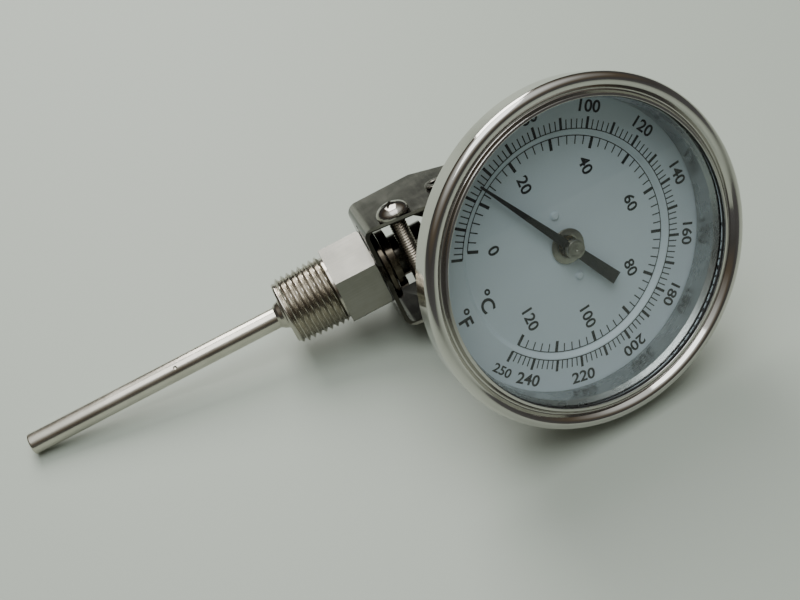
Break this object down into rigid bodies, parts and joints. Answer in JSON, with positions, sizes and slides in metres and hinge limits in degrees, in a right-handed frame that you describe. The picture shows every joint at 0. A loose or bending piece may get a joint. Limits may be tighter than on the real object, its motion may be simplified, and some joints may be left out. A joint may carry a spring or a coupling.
{
  "type": "dial thermometer",
  "caption": "Adjustable-angle dial thermometer: a round glazed dial on a tilting, swivelling bracket above a hexagon fitting with a tapered pipe thread and a long probe stem.",
  "frame": {"origin": "on the stem axis at the hexagon's shoulder, where the pipe thread ends", "axes": "+Z along the stem axis towards the bracket and the dial; the dial faces -Y and a little up, with its numerals upright along +Z"},
  "size_m": [0.092, 0.0807, 0.2029],
  "materials": {
    "polished_stainless": "mirror polished stainless steel",
    "brushed_stainless": "machined and brushed stainless steel",
    "dark_stainless": "pressed stainless steel, dark in reflection",
    "satin_stainless": "satin stainless steel",
    "spring_steel": "drawn spring wire",
    "brass": "turned brass",
    "bimetal_strip": "rolled bimetal strip",
    "dial_enamel": "pale grey-blue dial coating with black print",
    "pointer_black": "satin black paint",
    "window_glass": "clear flat glass",
    "gasket_rubber": "black rubber"
  },
  "bodies": {
    "fitting": {"threaded_hex_fitting": "brushed_stainless", "stem_tube": "brushed_stainless", "weld_fillet": "brushed_stainless", "helix_anchor": "brass", "bimetal_helix": "bimetal_strip", "lower_guide_bush": "brass", "upper_guide_bush": "brass", "neck_bush": "brass", "swivel_washer": "polished_stainless", "swivel_nut": "dark_stainless"},
    "drive_shaft": {"drive_shaft": "polished_stainless", "shaft_collar": "brass"},
    "bracket": {"stem_bracket": "dark_stainless", "pivot_rivet_right": "polished_stainless", "pivot_rivet_left": "polished_stainless", "clamp_nut": "polished_stainless", "flexible_drive_spring": "spring_steel"},
    "clamp_screw": {"clamp_screw": "polished_stainless"},
    "head": {"case_bracket": "dark_stainless", "case_rivet_1": "polished_stainless", "case_rivet_2": "polished_stainless", "case_rivet_3": "polished_stainless", "case_rivet_4": "polished_stainless", "case_cup": "polished_stainless", "bezel_ring": "polished_stainless", "glass": "window_glass", "gasket": "gasket_rubber", "spacer_ring": "satin_stainless", "dial_plate": "dial_enamel", "dial_screw_left": "dark_stainless", "dial_screw_right": "dark_stainless", "centre_washer": "satin_stainless", "bearing_boss": "brass"},
    "pointer": {"pointer": "pointer_black", "pointer_hub": "dark_stainless", "pointer_arbor": "polished_stainless", "arbor_collar": "brass"},
    "reset_screw": {"reset_screw": "brass"}
  },
  "joints": [
    {"name": "bracket_swivel", "type": "hinge", "parent": "fitting", "child": "bracket", "pos_m": [0, 0, 0.0136], "axis": [0, 0, 1], "continuous": true},
    {"name": "head_tilt", "type": "hinge", "parent": "bracket", "child": "head", "pos_m": [0, -0.006, 0.0378], "axis": [1, 0, 0], "range_deg": [-78.8, 11.2], "deforming": ["flexible_drive_spring"]},
    {"name": "clamp_screw_turn", "type": "hinge", "parent": "bracket", "child": "clamp_screw", "pos_m": [0, -0.012, 0.0232], "axis": [1, 0, 0], "continuous": true},
    {"name": "drive_shaft_turn", "type": "hinge", "parent": "fitting", "child": "drive_shaft", "pos_m": [0, 0, 0], "axis": [0, 0, -1], "range_deg": [-32, 268], "stiffness_Nm_per_rad": 0.002, "deforming": ["bimetal_helix"]},
    {"name": "pointer_turn", "type": "hinge", "parent": "head", "child": "pointer", "pos_m": [0, -0.04754, 0.05765], "axis": [0, 0.981, -0.1942], "range_deg": [-32, 268]},
    {"name": "reset_screw_turn", "type": "hinge", "parent": "head", "child": "reset_screw", "pos_m": [0, -0.05356, 0.02724], "axis": [0, -0.981, 0.1942], "continuous": true}
  ],
  "couplings": [
    {"joint": "pointer_turn", "follows": "drive_shaft_turn", "ratio": 1}
  ]
}
